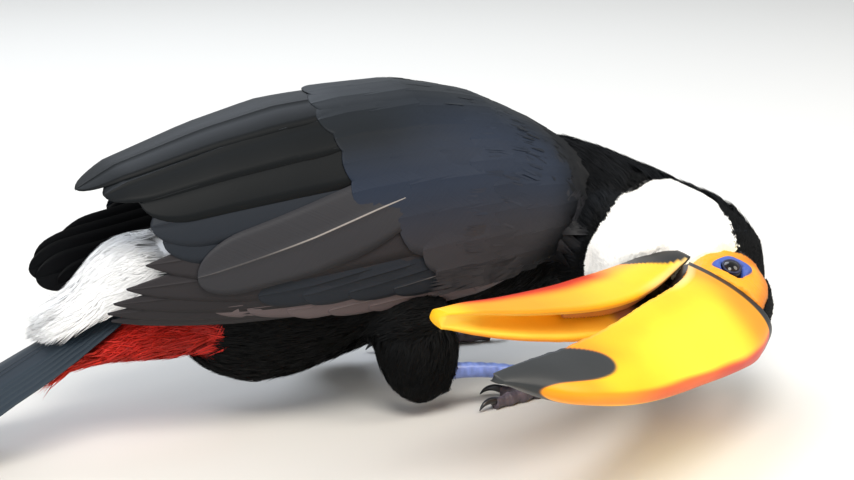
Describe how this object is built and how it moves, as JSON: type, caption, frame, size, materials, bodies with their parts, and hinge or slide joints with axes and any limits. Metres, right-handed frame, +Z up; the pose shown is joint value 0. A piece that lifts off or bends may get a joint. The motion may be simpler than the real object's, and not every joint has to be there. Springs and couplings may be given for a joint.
{
  "type": "toco toucan",
  "caption": "Life-size toco toucan, crouched on its feet with the neck bent round to its right, cheek up, large orange bill ajar, wings folded and tail down.",
  "frame": {"origin": "on the floor, at the middle of the footprint of the whole bird", "axes": "+X the way the trunk faces, +Y towards the bird's left, +Z up"},
  "size_m": [0.4344, 0.2752, 0.1498],
  "materials": {
    "black_feathers": "loose soot-black body feathers",
    "flight_feathers": "smooth charcoal vanes with a slate sheen, browner where worn",
    "neck_feathers": "short dense white feathers, black on the nape",
    "facial_skin": "bare amber skin round a blue-violet orbital ring, feathered behind",
    "white_feathers": "loose fluffy white coverts",
    "red_feathers": "loose deep red coverts",
    "tail_feathers": "smooth slate-black vanes",
    "bill_horn": "satin horn, yellow to red-orange, with a black tip spot and base band",
    "tongue": "moist, dull pink-grey",
    "eye": "wet, near-black brown",
    "leg_skin": "smooth lavender-blue skin",
    "foot_scales": "scaly grey-brown with black claws"
  },
  "bodies": {
    "root": {"bill_lower": "bill_horn", "bill_upper": "bill_horn", "eye_left": "eye", "eye_right": "eye", "foot_left": "foot_scales", "foot_right": "foot_scales", "head": "facial_skin", "neck": "neck_feathers", "rump_coverts": "white_feathers", "tail": "tail_feathers", "tarsus_left": "leg_skin", "tarsus_right": "leg_skin", "thigh_left": "black_feathers", "thigh_right": "black_feathers", "tongue": "tongue", "trunk": "black_feathers", "vent_coverts": "red_feathers", "wing_left": "flight_feathers", "wing_right": "flight_feathers"}
  },
  "joints": []
}
